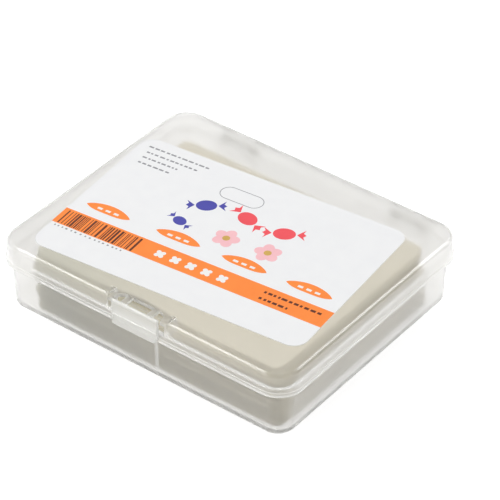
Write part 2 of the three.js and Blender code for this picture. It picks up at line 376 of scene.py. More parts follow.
def buildSoftMottle():
    # broad uneven patches, given as a value from Low to High and as a plain Height
    numbers = {"Scale": 100.0, "Low": 0.0, "High": 1.0}
    tree, source, result = newGroup("softMottle", numbers, ("Value", "Height"))
    height = noiseHeight(tree, source.outputs["Place"], source.outputs["Scale"], 3.0)
    spread = addNode(tree, "ShaderNodeMapRange", {
        "Value": height,
        "From Min": 0.3,
        "From Max": 0.7,
        "To Min": source.outputs["Low"],
        "To Max": source.outputs["High"],
    })
    tree.links.new(spread.outputs["Result"], result.inputs["Value"])
    tree.links.new(height, result.inputs["Height"])
    return tree


# the turn and the stretch of each set of scratches, and the noise values between which one shows
scratches = {
    "sets": ((0.5, (40, 1400, 300)), (2.1, (60, 1100, 300))),
    "limits": (0.70, 0.78),
}


def buildFineScuffs():
    # thin scratches in two directions, as a mask
    tree, source, result = newGroup("fineScuffs", {"Amount": 0.2}, ("Mask",))
    masks = []
    for turn, stretch in scratches["sets"]:
        mapping = addNode(tree, "ShaderNodeMapping", {
            "Vector": source.outputs["Place"],
            "Rotation": (0, 0, turn),
            "Scale": stretch,
        })
        noise = noiseHeight(tree, mapping.outputs["Vector"], 1.0, 2.0)
        masks.append(ramp(tree, noise, scratches["limits"]))
    both = calculate(tree, "MAXIMUM", *masks)
    scaled = calculate(tree, "MULTIPLY", both, source.outputs["Amount"])
    tree.links.new(scaled, result.inputs["Mask"])
    return tree


def buildPaperGrain():
    # the fine tooth of coated paper or a wafer sheet
    tree, source, result = newGroup("paperGrain", {"Scale": 2500.0}, ("Height",))
    height = noiseHeight(tree, source.outputs["Place"], source.outputs["Scale"], 4.0)
    tree.links.new(height, result.inputs["Height"])
    return tree


softMottle = buildSoftMottle()
fineScuffs = buildFineScuffs()
paperGrain = buildPaperGrain()


def useGroup(tree, group, values):
    return addNode(tree, "ShaderNodeGroup", values, node_tree=group)


def unevenGloss(tree, place, scale, gloss):
    values = {"Place": place, "Scale": scale, "Low": gloss[0], "High": gloss[1]}
    return useGroup(tree, softMottle, values)


def startMaterial(name):
    material = bpy.data.materials.new(name)
    material.use_nodes = True
    tree = material.node_tree
    shader = tree.nodes["Principled BSDF"]
    place = tree.nodes.new("ShaderNodeTexCoord").outputs["Object"]
    return material, tree, shader, place


def mixColours(tree, factor, first, second):
    values = {0: factor}
    for index, value in ((6, first), (7, second)):
        values[index] = (*value, 1) if isinstance(value, tuple) else value
    return addNode(tree, "ShaderNodeMix", values, data_type="RGBA").outputs[2]


def linkSurface(tree, shader, colour, roughness, normal):
    tree.links.new(colour, shader.inputs["Base Color"])
    tree.links.new(roughness, shader.inputs["Roughness"])
    tree.links.new(normal, shader.inputs["Normal"])


# gloss is a range of roughness, and patch, ripple and grain are noise scales
clearPlastic = {
    "clear": (0.935, 0.93, 0.918),
    "cloudy": (0.912, 0.907, 0.895),
    "transmission": 0.95,
    "ior": 1.22,
    "gloss": (0.28, 0.36),
    "patch": 90.0,
    "ripple": 55.0,
    "rippleDepth": 0.004,
    "coat": 1.0,
    "coatRoughness": 0.15,
    "lampTint": (0.955, 0.955, 0.95),
    "scuffs": 0.02,
}

latchPlastic = dict(
    clearPlastic,
    transmission=0.70,
    gloss=(0.30, 0.38),
    clear=(0.95, 0.95, 0.93),
    cloudy=(0.92, 0.92, 0.90),
)

# milky plastic looks whiter along its edges, where more of it is seen; on the rim, the foot, the lid's
# lip and up-facing shoulder, the straps and the right side of the tray's pad this whiter finish is also
# a painted highlight
edgeAndHighlightPlastic = dict(
    clearPlastic,
    transmission=0.45,
    clear=(0.97, 0.965, 0.945),
    cloudy=(0.95, 0.945, 0.925),
)


def plasticMaterial(name, finish):
    material, tree, shader, place = startMaterial(name)
    patches = unevenGloss(tree, place, finish["patch"], finish["gloss"])
    scuffs = useGroup(tree, fineScuffs, {"Place": place, "Amount": finish["scuffs"]})
    roughness = calculate(tree, "ADD", patches.outputs["Value"], scuffs.outputs["Mask"])
    ripple = useGroup(tree, softMottle, {"Place": place, "Scale": finish["ripple"]})
    bump = bumpNormal(tree, ripple.outputs["Height"], finish["rippleDepth"])
    colour = mixColours(tree, patches.outputs["Height"], finish["clear"], finish["cloudy"])
    linkSurface(tree, shader, colour, roughness, bump)
    shader.inputs["Transmission Weight"].default_value = finish["transmission"]
    shader.inputs["IOR"].default_value = finish["ior"]
    shader.inputs["Coat Weight"].default_value = finish["coat"]
    shader.inputs["Coat Roughness"].default_value = finish["coatRoughness"]
    # lamps and light bounced off the sheets go straight through, so the inside is lit
    path = tree.nodes.new("ShaderNodeLightPath")
    through = addNode(tree, "ShaderNodeBsdfTransparent", {"Color": (*finish["lampTint"], 1)})
    surface = shader.outputs[0]
    for ray in ("Is Diffuse Ray", "Is Shadow Ray"):
        surface = mixShaders(tree, path.outputs[ray], surface, through.outputs[0])
    tree.links.new(surface, tree.nodes["Material Output"].inputs["Surface"])
    return material


# a pair that ends in From is where a colour starts to show and where it is full
wafer = {
    "face": (0.80, 0.74, 0.60),
    "faceThin": (0.74, 0.69, 0.55),
    "faceLeft": (0.62, 0.60, 0.485),
    "faceLeftFrom": (8.0, -30.0),
    "faceFrontFrom": (-4.0, -20.0),
    "edge": (0.235, 0.228, 0.165),
    "edgeDark": (0.195, 0.187, 0.132),
    "edgeLeft": (0.42, 0.405, 0.30),
    "edgeLeftFrom": (-26.0, -36.0),
    "edgeTop": (0.74, 0.71, 0.58),
    "edgeTopDark": (0.66, 0.635, 0.515),
    "edgeTopFrom": (12.4, 14.6),
    "edgeRight": (0.90, 0.87, 0.74),
    "edgeOpen": (0.80, 0.79, 0.74),
    "openAsideFrom": (8.6, 6.8),
    "openHeightFrom": (9.8, 11.2),
    "facesRight": (0.5, 0.9),
    "facesUp": (0.35, 0.85),
    "patch": 60.0,
    "layers": (25, 25, 2600),
    "gloss": (0.30, 0.42),
    "grain": 3000.0,
    "grainDepth": 0.006,
    "grainStrength": 0.5,
}


def waferMaterial(name):
    material, tree, shader, place = startMaterial(name)
    spot = addNode(tree, "ShaderNodeSeparateXYZ", {0: place})
    direction = tree.nodes.new("ShaderNodeNewGeometry").outputs["Normal"]
    facing = addNode(tree, "ShaderNodeSeparateXYZ", {0: direction})

    # the faces are greyer at the front left
    tone = useGroup(tree, softMottle, {"Place": place, "Scale": wafer["patch"]})
    face = mixColours(tree, tone.outputs["Value"], wafer["face"], wafer["faceThin"])
    leftShare = ramp(tree, spot.outputs["X"], wafer["faceLeftFrom"], mm)
    frontShare = ramp(tree, spot.outputs["Y"], wafer["faceFrontFrom"], mm)
    face = mixColours(tree, calculate(tree, "MULTIPLY", leftShare, frontShare), face, wafer["faceLeft"])

    # painted shade: the sheets' sides get a much darker colour than their tops, streaked along the
    # sheets, and lighter at their left end
    layered = addNode(tree, "ShaderNodeMapping", {"Vector": place, "Scale": wafer["layers"]})
    streaks = useGroup(tree, softMottle, {"Place": layered.outputs["Vector"], "Scale": 1.0})
    edge = mixColours(tree, streaks.outputs["Value"], wafer["edge"], wafer["edgeDark"])
    leftEnd = ramp(tree, spot.outputs["X"], wafer["edgeLeftFrom"], mm)
    edge = mixColours(tree, leftEnd, edge, wafer["edgeLeft"])

    # painted light: the upper edges are made lighter for the light from the open space above, most of
    # all at the right side
    edgeTop = mixColours(tree, streaks.outputs["Value"], wafer["edgeTop"], wafer["edgeTopDark"])
    rightward = ramp(tree, facing.outputs["X"], wafer["facesRight"])
    edgeTop = mixColours(tree, rightward, edgeTop, wafer["edgeRight"])
    edge = mixColours(tree, ramp(tree, spot.outputs["Z"], wafer["edgeTopFrom"], mm), edge, edgeTop)

    # painted light: under the lid's open window the lighter colour reaches further down
    aside = calculate(tree, "ABSOLUTE", spot.outputs["X"])
    near = ramp(tree, aside, wafer["openAsideFrom"], mm)
    above = ramp(tree, spot.outputs["Z"], wafer["openHeightFrom"], mm)
    edge = mixColours(tree, calculate(tree, "MULTIPLY", near, above), edge, wafer["edgeOpen"])

    # painted shade: faces turned sideways take the dark edge colours, faces turned up or down take the
    # light face colours
    level = calculate(tree, "ABSOLUTE", facing.outputs["Z"])
    colour = mixColours(tree, ramp(tree, level, wafer["facesUp"]), edge, face)
    gloss = unevenGloss(tree, place, wafer["patch"], wafer["gloss"])
    grain = useGroup(tree, paperGrain, {"Place": place, "Scale": wafer["grain"]})
    bump = bumpNormal(tree, grain.outputs["Height"], wafer["grainDepth"], wafer["grainStrength"])
    linkSurface(tree, shader, colour, gloss.outputs["Value"], bump)
    return material


printed = {
    "paper": ((0.86, 0.865, 0.87), (0.84, 0.845, 0.855)),
    "paperGloss": (0.34, 0.42),
    "inkGloss": (0.28, 0.36),
    "tonePatch": 260.0,
    "glossPatch": 120.0,
    "grain": 4500.0,
    "grainDepth": 0.004,
    "grainStrength": 0.35,
}

# each ink varies between two tones
inks = {
    "orange": ((1.0, 0.27, 0.045), (0.97, 0.25, 0.04)),
    "brown": ((0.10, 0.022, 0.008), (0.13, 0.03, 0.01)),
    "white": ((0.88, 0.87, 0.85), (0.86, 0.85, 0.83)),
    "blue": ((0.07, 0.07, 0.40), (0.06, 0.06, 0.36)),
    "red": ((0.90, 0.09, 0.11), (0.84, 0.08, 0.10)),
    "pink": ((0.93, 0.54, 0.57), (0.90, 0.50, 0.54)),
    "grey": ((0.30, 0.30, 0.32), (0.26, 0.26, 0.28)),
    "amber": ((0.66, 0.42, 0.10), (0.60, 0.38, 0.09)),
}


def printMaterial(name, tones, gloss):
    # coated paper, or ink on it: a slight unevenness of tone and shine
    material, tree, shader, place = startMaterial(name)
    tone = useGroup(tree, softMottle, {"Place": place, "Scale": printed["tonePatch"]})
    shine = unevenGloss(tree, place, printed["glossPatch"], gloss)
    grain = useGroup(tree, paperGrain, {"Place": place, "Scale": printed["grain"]})
    bump = bumpNormal(tree, grain.outputs["Height"], printed["grainDepth"], printed["grainStrength"])
    colour = mixColours(tree, tone.outputs["Value"], *tones)
    linkSurface(tree, shader, colour, shine.outputs["Value"], bump)
    return material


clearMaterial = plasticMaterial("clearPolypropylene", clearPlastic)
latchMaterial = plasticMaterial("milkyPolypropylene", latchPlastic)
edgeAndHighlightMaterial = plasticMaterial("polypropyleneEdgeAndHighlight", edgeAndHighlightPlastic)
sheetMaterial = waferMaterial("waferPaper")
paperMaterial = printMaterial("coatedPaper", printed["paper"], printed["paperGloss"])
inkMaterials = {
    name: printMaterial(name + "Ink", tones, printed["inkGloss"])
    for name, tones in inks.items()
}
print("stage: materials are ready")

labelGap = 0.05  # between the lid and the sticker

# the tray and the lid share one outline
box = {
    "width": lidHigh.x - lidLow.x,
    "depth": -2 * lidLow.y,  # at the back the hinge stands out past it
    "height": labelLow.z - labelGap,
    "cornerRadius": 7.0,
    "cornerSteps": 16,
    "smallestCorner": 1.0,
    "flatMargin": 0.6,
}


def boxSkin(name, profile):
    rings = []
    for inset, z in profile:
        radius = max(box["cornerRadius"] - inset, box["smallestCorner"])
        width = box["width"] - 2 * inset
        depth = box["depth"] - 2 * inset
        rings.append((z, roundedOutline(width, depth, radius, box["cornerSteps"])))
    return loft(name, rings)


tray = {
    "rimHeight": baseHigh.z,
    "wall": 1.1,
    "rimInset": 1.5,
    "footInset": 2.0,
    "footFillet": 1.5,
    "footEdge": 0.3,
    "floor": 1.2,
    "innerFillet": 0.6,
    "rimRound": 0.3,
    "padHalfWidth": 5.0,
    "padRootHalfWidth": 5.9,
    "padFoot": 1.6,
    "padTop": 13.4,
    "padProud": 0.3,
    "padRunOut": 1.2,
    "padSink": 0.05,
    "ridgeHalfWidth": 5.4,
    "ridgeFoot": 13.95,
    "ridgeTop": 14.6,
    "ridgeProud": 0.5,
    "gateRadius": 3.2,
    "gateDepth": 0.25,
    "gateReach": 1.0,
    "nubRadius": 0.7,
    "nubFoot": 0.08,
    "nubTop": 0.5,
    "rimEdge": 0.18,
    "facesAside": 0.2,
    "facesDown": -0.15,
    "softEdge": 0.1,
}

hinge = {
    "x": 27.0,
    "axisY": 39.6,
    "axisZ": 12.6,
    "barrelRadius": 1.5,
    "barrelHalf": 4.0,
    "stubRadius": 0.8,
    "stubLength": 1.1,
    "gap": 0.3,
    "earRadius": 1.9,
    "earThickness": 1.6,
    "earRoot": 4.8,
    "earArc": (-70, 180),
    "armFoot": 0.2,
    "armRise": 4.2,
    "armTopDepth": 0.6,
    "armMeets": ((-0.8, 0.2), (0.5, 0.7)),  # on the barrel, as shares of its radius
}


def traySkin():
    innerRim = tray["rimInset"] + tray["wall"]
    innerFoot = tray["footInset"] + tray["wall"]
    footCentre = tray["footInset"] + tray["footFillet"]
    floorCentre = innerFoot + tray["innerFillet"]
    curl = tray["rimRound"]
    curlCentre = tray["rimHeight"] - curl
    return boxSkin("boxTray", [
        (footCentre + box["flatMargin"], 0),
        *wallFillet(footCentre, tray["footFillet"], tray["footFillet"], -90, 0),
        *wallFillet(tray["rimInset"] + curl, curlCentre, curl, 0, 90, steps=4),
        *arc(innerRim - curl, curlCentre, curl, 90, 0, steps=4),
        *wallFillet(floorCentre, tray["floor"] + tray["innerFillet"], tray["innerFillet"], 0, -90),
        (floorCentre + box["flatMargin"], tray["floor"]),
    ])


def trayEars():
    wallY = box["depth"] / 2 - tray["rimInset"] - tray["wall"] / 2
    outline = [
        (wallY, hinge["axisZ"]),
        (wallY, hinge["axisZ"] - hinge["earRoot"]),
        *arc(hinge["axisY"], hinge["axisZ"], hinge["earRadius"], *hinge["earArc"], steps=32),
    ]
    near = hinge["barrelHalf"] + hinge["gap"]
    far = near + hinge["earThickness"]
    ears = []
    for x in (-hinge["x"], hinge["x"]):
        ears.append(prismX("ear", outline, x - far, x - near))
        ears.append(prismX("ear", outline, x + near, x + far))
    return ears


def trayStubHoles():
    reach = hinge["barrelHalf"] + hinge["stubLength"] + hinge["gap"]
    radius = hinge["stubRadius"] + hinge["gap"]
    return [
        rodX("hole", radius, x - reach, x + reach, hinge["axisY"], hinge["axisZ"])
        for x in (-hinge["x"], hinge["x"])
    ]


def trayFrontY(z):
    # the outer face of the front wall leans out a little towards the rim
    rise = (z - tray["footFillet"]) / (tray["rimHeight"] - tray["rimRound"] - tray["footFillet"])
    return tray["footInset"] + rise * (tray["rimInset"] - tray["footInset"]) - box["depth"] / 2


def trayPad():
    # a shallow pad with sloping sides, which runs out into the wall at its foot
    half, rootHalf = tray["padHalfWidth"], tray["padRootHalfWidth"]
    rings = []
    for z, proud in (
        (tray["padFoot"], -tray["padSink"]),
        (tray["padFoot"] + tray["padRunOut"], tray["padProud"]),
        (tray["padTop"], tray["padProud"]),
    ):
        wallY = trayFrontY(z)
        side = [
            (half, wallY - proud),
            (rootHalf, wallY + tray["padSink"]),
            (rootHalf, wallY + tray["wall"] / 2),
        ]
        rings.append((z, [(-x, y) for x, y in reversed(side)] + side))
    return loft("pad", rings)


def trayCatch():
    rimY = trayFrontY(tray["rimHeight"] - tray["rimRound"])
    rootY = rimY + tray["wall"] / 2
    ridge = [
        (rootY, tray["ridgeFoot"]),
        (rootY, tray["ridgeTop"]),
        (rimY, tray["ridgeTop"]),
        (rimY - tray["ridgeProud"], (tray["ridgeFoot"] + tray["ridgeTop"]) / 2),
        (rimY - tray["ridgeProud"], tray["ridgeFoot"]),
    ]
    return [trayPad(), prismX("ridge", ridge, -tray["ridgeHalfWidth"], tray["ridgeHalfWidth"])]


def rodZ(name, radius, low, high, steps=48):
    outline = arc(0, 0, radius, 0, 360, steps)[:-1]
    return loft(name, [(low, outline), (high, outline)])


def isTrayEdgeHighlight(middle, direction):
    # painted highlight: the whiter finish goes on the right side of the pad, the rim and the rounded
    # foot
    onPadSide = tray["padHalfWidth"] < middle.x < tray["padRootHalfWidth"]
    onFront = middle.y < trayFrontY(middle.z) + tray["padSink"] and middle.z < tray["padTop"]
    facesAside = abs(direction.x) > tray["facesAside"]
    onRim = middle.z > tray["rimHeight"] - tray["rimEdge"]
    onFoot = tray["footEdge"] < middle.z < tray["footFillet"] and direction.z < tray["facesDown"]
    return (onPadSide and onFront and facesAside) or onRim or onFoot


def buildTray():
    piece = traySkin()
    combine(piece, "UNION", trayEars() + trayCatch())
    combine(piece, "DIFFERENCE", trayStubHoles())
    # the mould's gate, in a shallow round recess under the floor
    recess = rodZ("recess", tray["gateRadius"], -tray["gateReach"], tray["gateDepth"])
    combine(piece, "DIFFERENCE", [recess])
    combine(piece, "UNION", [rodZ("nub", tray["nubRadius"], tray["nubFoot"], tray["nubTop"])])
    softenEdges(piece, tray["softEdge"], (clearMaterial, edgeAndHighlightMaterial))
    markEdges(piece, isTrayEdgeHighlight)
    smoothShade(piece)
    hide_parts("box_base")
    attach(piece, "base")


buildTray()
print("stage: tray")

lid = {
    "seam": 13.5,
    "wall": 1.0,
    "draft": 0.5,
    "top": 1.1,
    "topFillet": 1.2,
    "innerFillet": 0.8,
    "lipRound": 0.25,
    "bandTop": 14.75,
    "bandStep": 0.17,
    "bandInset": 0.02,
    "windowHalf": 7.3,
    "windowCorner": 2.2,
    "windowBack": -33.9,
    "windowDepth": 8.0,
    "notchTop": 15.8,
    "sideGapHalf": 8.8,
    "sideGapTop": 18.7,
    "notchGap": 0.35,
    "notchDepth": 1.7,
    "notchOverlap": 0.3,
    "cutReach": 2.0,
    "strapX": 4.0,
    "strapWidth": 1.5,
    "strapTop": 19.9,
    "strapThickness": 0.9,
    "strapRoot": 0.8,
    "strapClearance": 0.06,
    "strapMargin": 0.5,
    "cheekThickness": 0.9,
    "cheekOverlap": 0.05,
    "cheekFront": -37.05,
    "cheekBack": -33.1,
    "cheekFoot": 15.7,
    "cheekTop": lidHigh.z,
    "cheekRound": 1.6,
    "cheekFootRound": 1.0,
    "facesUp": 0.4,
    "facesAside": 0.9,
    "softEdge": 0.1,
}

latch = {
    "halfWidth": latchHigh.x,
    "outer": -37.8,
    "inner": -36.8,
    "axisY": -37.3,
    "axisZ": 19.4,
    "knuckle": 0.6,
    "knuckleArc": (-33, 213),
    "foot": latchLow.z,
    "lipFront": latchLow.y,
    "lipTop": 14.1,
    "lipSlope": (0.2, 0.3),
    "hookBack": latchHigh.y,
    "hookTop": 13.65,
    "hookSlope": 0.2,
    "ledge": 15.75,
    "ledgeDepth": 0.28,
    "ledgeHeight": 0.55,
    "ledgeProud": 0.2,
    "ledgeSlope": 0.14,
    "cornerRadius": 1.3,
    "cutMargin": 0.2,
    "cutReach": 2.0,
    "softEdge": 0.12,
}


def lidSkin():
    innerTop = lid["wall"] + lid["draft"]
    topCentre = lid["draft"] + lid["topFillet"]
    ceiling = box["height"] - lid["top"]
    ceilingCentre = innerTop + lid["innerFillet"]
    lip = lid["lipRound"]
    lipCentre = lid["seam"] + lip
    # the lid's wall is a little thicker in a band along its lip
    shoulder = [(lid["bandStep"], lid["bandTop"] + lid["bandStep"]), (lid["bandInset"], lid["bandTop"])]
    return boxSkin("boxLid", [
        (topCentre + box["flatMargin"], box["height"]),
        *wallFillet(topCentre, box["height"] - lid["topFillet"], lid["topFillet"], 90, 0),
        *shoulder,
        *wallFillet(lip, lipCentre, lip, 0, -90, steps=4),
        *arc(lid["wall"] - lip, lipCentre, lip, -90, 0, steps=4),
        *wallFillet(ceilingCentre, ceiling - lid["innerFillet"], lid["innerFillet"], 0, 90),
        (ceilingCentre + box["flatMargin"], ceiling),
    ])


def lidLatchGap():
    # the open window above the latch, the plate's notch and the wider gap beside the plate
    outside = -box["depth"] / 2 - lid["cutReach"]
    half = latch["halfWidth"] + lid["notchGap"]
    back = -box["depth"] / 2 + lid["notchDepth"]
    foot = lid["notchTop"]
    notchFoot = lid["seam"] - lid["cutReach"]
    gap = lid["sideGapHalf"]
    centre = (0, lid["windowBack"] - lid["windowDepth"] / 2)
    width, depth = 2 * lid["windowHalf"], lid["windowDepth"]
    window = roundedOutline(width, depth, lid["windowCorner"], 12, centre)
    return [
        loft("window", [(foot, window), (box["height"] + lid["cutReach"], window)]),
        blockPiece("notch", (-half, outside, notchFoot), (half, back, foot + lid["notchOverlap"])),
        blockPiece("sideGap", (-gap, outside, foot), (gap, back, lid["sideGapTop"])),
    ]


def lidCheeks():
    topRound = lid["cheekRound"]
    footRound = lid["cheekFootRound"]
    topZ = lid["cheekTop"] - topRound
    outline = [
        (lid["cheekFront"], lid["cheekFoot"]),
        *arc(lid["cheekBack"] - footRound, lid["cheekFoot"] + footRound, footRound, -90, 0, steps=8),
        *arc(lid["cheekBack"] - topRound, topZ, topRound, 0, 90, steps=14),
        *arc(lid["cheekFront"] + topRound, topZ, topRound, 90, 180, steps=14),
    ]
    near = lid["sideGapHalf"] - lid["cheekOverlap"]
    far = near + lid["cheekThickness"]
    return [prismX("cheek", outline, -far, -near), prismX("cheek", outline, near, far)]


def lidStraps():
    # each strap ends in a hollow that clears the latch's knuckle
    clear = latch["knuckle"] + lid["strapClearance"]
    low = lid["strapTop"] - lid["strapThickness"]
    startAngle = math.degrees(math.asin((low - latch["axisZ"]) / clear))
    endAngle = math.degrees(math.asin((lid["strapTop"] - latch["axisZ"]) / clear))
    outline = [
        (lid["windowBack"] + lid["strapRoot"], lid["strapTop"]),
        (lid["windowBack"] + lid["strapRoot"], low),
        *arc(latch["axisY"], latch["axisZ"], clear, startAngle, endAngle, steps=10),
    ]
    half = lid["strapWidth"] / 2
    return [prismX("strap", outline, x - half, x + half) for x in (-lid["strapX"], lid["strapX"])]


def lidBarrels():
    wallY = box["depth"] / 2 - lid["wall"] / 2
    axisY, axisZ = hinge["axisY"], hinge["axisZ"]
    radius = hinge["barrelRadius"]
    outline = [
        (wallY, lid["seam"] + hinge["armFoot"]),
        *[(axisY + y * radius, axisZ + z * radius) for y, z in hinge["armMeets"]],
        (wallY + hinge["armTopDepth"], axisZ + hinge["armRise"]),
        (wallY, axisZ + hinge["armRise"]),
    ]
    half = hinge["barrelHalf"]
    reach = half + hinge["stubLength"]
    pieces = []
    for x in (-hinge["x"], hinge["x"]):
        pieces.append(prismX("arm", outline, x - half, x + half))
        pieces.append(rodX("barrel", radius, x - half, x + half, axisY, axisZ))
        pieces.append(rodX("stub", hinge["stubRadius"], x - reach, x + reach, axisY, axisZ))
    return pieces


def isLidEdgeHighlight(middle, direction):
    # painted highlight: the whiter finish goes on the lip, the up-facing slope above the band and the
    # sides of the straps
    onLip = middle.z < lid["seam"] + lid["lipRound"]
    onShoulder = lid["bandTop"] < middle.z < lid["bandTop"] + lid["bandStep"]
    onStrap = abs(middle.x) < lid["windowHalf"] - lid["strapMargin"] and middle.y < lid["windowBack"]
    facesUp = direction.z > lid["facesUp"]
    facesAside = abs(direction.x) > lid["facesAside"]
    return onLip or (onShoulder and facesUp) or (onStrap and facesAside)


def buildLid():
    piece = lidSkin()
    combine(piece, "DIFFERENCE", lidLatchGap())
    combine(piece, "UNION", lidCheeks() + lidStraps() + lidBarrels())
    softenEdges(piece, lid["softEdge"], (clearMaterial, edgeAndHighlightMaterial))
    markEdges(piece, isLidEdgeHighlight)
    smoothShade(piece)
    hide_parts("box_lid")
    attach(piece, "lid")


buildLid()
print("stage: lid")


def buildLatch():
    # the ledge is a small rib above a recessed band
    bandY = latch["outer"] + latch["ledgeDepth"]
    ribY = latch["outer"] - latch["ledgeProud"]
    slopeY, slopeZ = latch["lipSlope"]
    outline = [
        (latch["outer"], latch["ledge"] + latch["ledgeHeight"]),
        (ribY, latch["ledge"] + latch["ledgeHeight"] - latch["ledgeSlope"]),
        (ribY, latch["ledge"] + latch["ledgeSlope"]),
        (bandY, latch["ledge"]),
        (bandY, latch["lipTop"]),
        (latch["lipFront"], latch["foot"] + slopeZ),
        (latch["lipFront"] + slopeY, latch["foot"]),
        (latch["hookBack"], latch["foot"]),
        (latch["hookBack"], latch["hookTop"]),
        (latch["inner"], latch["hookTop"] + latch["hookSlope"]),
        *arc(latch["axisY"], latch["axisZ"], latch["knuckle"], *latch["knuckleArc"], steps=28),
    ]
    half = latch["halfWidth"]
    piece = prismX("latchPlate", outline, -half, half)
    # the plate's two lower corners are rounded
    corner = latch["cornerRadius"]
    cornerZ = latch["foot"] + corner
    side = half + latch["cutMargin"]
    top = latch["axisZ"] + latch["cutReach"]
    front = [
        (side, top),
        (-side, top),
        (-side, cornerZ),
        *arc(-half + corner, cornerZ, corner, 180, 270, steps=10),
        *arc(half - corner, cornerZ, corner, 270, 360, steps=10),
        (side, cornerZ),
    ]
    lowY = latch["lipFront"] - latch["cutReach"]
    highY = latch["hookBack"] + latch["cutReach"]
    combine(piece, "INTERSECT", [prismY("cornerCut", front, lowY, highY)])
    softenEdges(piece, latch["softEdge"], (latchMaterial, edgeAndHighlightMaterial))
    smoothShade(piece)
    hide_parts("latch_flap")
    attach(piece, "latch")


buildLatch()
print("stage: latch")

sheets = {
    "width": 75.4,
    "depth": 60.2,
    "corner": 2.0,
    "cornerSteps": 4,
    "centre": (0.5, -0.9),
    "foot": stackLow.z,
    "top": stackHigh.z,
    "pitch": 0.03,
    "thickness": 0.026,
    "sheetShift": 0.05,
    "bundle": 7,
    "slide": (2.6, -2.8),
    "slideShare": 0.8,
    "slideSpread": 0.15,
    "slideTop": (11.2, 16.4),
    "footRoom": 0.6,
    "footShare": 0.86,
    "turn": 0.12,
    "fan": 1.3,
    "fanFrom": 12.6,
    "fanPivot": (37.0, -30.0),
    "curled": 8,
    "curlGrid": (60, 48),
    "curlShift": 0.25,
    "curlTurn": 0.25,
    "curlLift": 1.7,
    "curlX": -2.5,
    "curlWidth": 8.5,
    "curlReach": 9.0,
    "cornerLift": 0.35,
    "cornerReach": (14.0, 12.0),
    "sharpAngle": 50,
    "seed": 7,
}


def sheetCentres(count, chance):
    # the lower sheets have slid unevenly towards the tray's front right corner, a few at a time
    low, high = sheets["slideTop"]
    centres = []
    slid = np.zeros(2)
    for i in range(count):
        z = sheets["foot"] + i * sheets["pitch"]
        if i % sheets["bundle"] == 0:
            slid = np.clip(chance.normal(sheets["slideShare"], sheets["slideSpread"], 2), 0, 1)
        held = min(max((high - z) / (high - low), 0), 1)
        rise = (z - sheets["foot"]) / sheets["footRoom"]
        room = min(1, sheets["footShare"] + rise * (1 - sheets["footShare"]))
        drift = chance.uniform(-sheets["sheetShift"], sheets["sheetShift"], 2)
        centres.append((
            sheets["centre"][0] + slid[0] * held * room * sheets["slide"][0] + drift[0],
            sheets["centre"][1] + slid[1] * held * room * sheets["slide"][1] + drift[1],
        ))
    return centres


def turnedOutline(outline, centre, degrees):
    cosine = math.cos(math.radians(degrees))
    sine = math.sin(math.radians(degrees))
    return [(centre[0] + x * cosine - y * sine, centre[1] + x * sine + y * cosine) for x, y in outline]


def fanned(outline, z):
    # the upper sheets are spread like a hand of cards at the left end
    share = min(max((sheets["top"] - z) / (sheets["top"] - sheets["fanFrom"]), 0), 1)
    held = min(max((z - sheets["slideTop"][0]) / (sheets["fanFrom"] - sheets["slideTop"][0]), 0), 1)
    pivot = sheets["fanPivot"]
    local = [(x - pivot[0], y - pivot[1]) for x, y in outline]
    return turnedOutline(local, pivot, sheets["fan"] * share * held)


def buildFlatSheets():
    chance = np.random.default_rng(sheets["seed"])
    count = int((sheets["top"] - sheets["foot"]) / sheets["pitch"]) - sheets["curled"]
    outline = roundedOutline(sheets["width"], sheets["depth"], sheets["corner"], sheets["cornerSteps"])
    vertices, faces = [], []
    for i, centre in enumerate(sheetCentres(count, chance)):
        low = sheets["foot"] + i * sheets["pitch"]
        turned = turnedOutline(outline, centre, chance.uniform(-sheets["turn"], sheets["turn"]))
        addSlab(vertices, faces, fanned(turned, low), low, low + sheets["thickness"])
    piece = makePiece("waferSheets", vertices, faces)
    piece.data.materials.append(sheetMaterial)
    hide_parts("wafer_stack")
    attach(piece, "base")
    return count


def fade(distance, reach):
    # 1 at no distance, and close to 0 well past the reach
    return math.exp(-((distance / reach) ** 2))


def curlHeight(x, y, share):
    # the top sheets stand up in a wave behind the latch, and a little at the front right corner
    fromFront = y + sheets["depth"] / 2 - sheets["centre"][1]
    wave = fade(x - sheets["curlX"], sheets["curlWidth"]) * fade(fromFront, sheets["curlReach"])
    reachX, reachY = sheets["cornerReach"]
    corner = fade(x - sheets["width"] / 2, reachX) * fade(fromFront, reachY)
    return share * (sheets["curlLift"] * wave + sheets["cornerLift"] * corner)


def buildCurledSheets(below):
    chance = np.random.default_rng(sheets["seed"] + 1)
    columns, rows = sheets["curlGrid"]
    shift, turn = sheets["curlShift"], sheets["curlTurn"]
    vertices, faces = [], []
    for k in range(sheets["curled"]):
        share = (k + 1) / sheets["curled"]
        low = sheets["foot"] + (below + k) * sheets["pitch"]
        centre = chance.uniform(-shift, shift, 2) + np.array(sheets["centre"])
        degrees = chance.uniform(-turn, turn)
        first = len(vertices)
        for side in (0, 1):
            for r in range(rows + 1):
                for c in range(columns + 1):
                    u = (c / columns - 0.5) * sheets["width"]
                    v = (r / rows - 0.5) * sheets["depth"]
                    (x, y), = turnedOutline([roundedSpot(u, v)], centre, degrees)
                    z = low + side * sheets["thickness"] + curlHeight(x, y, share)
                    vertices.append((x, y, z))
        faces += gridSlabFaces(first, columns, rows)
    piece = makePiece("waferTopSheets", vertices, faces)
    piece.data.shade_smooth()
    piece.data.set_sharp_from_angle(angle=math.radians(sheets["sharpAngle"]))
    piece.data.materials.append(sheetMaterial)
    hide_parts("wafer_stack")
    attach(piece, "base")


def roundedSpot(u, v):
    # pulls a spot near a sheet's corner in to the corner's round
    radius = sheets["corner"]
    overX = abs(u) - (sheets["width"] / 2 - radius)
    overY = abs(v) - (sheets["depth"] / 2 - radius)
    if overX <= 0 or overY <= 0:
        return u, v
    longest = max(overX, overY)
    shrink = longest / math.hypot(overX, overY)
    x = sheets["width"] / 2 - radius + overX * shrink
    y = sheets["depth"] / 2 - radius + overY * shrink
    return math.copysign(x, u), math.copysign(y, v)


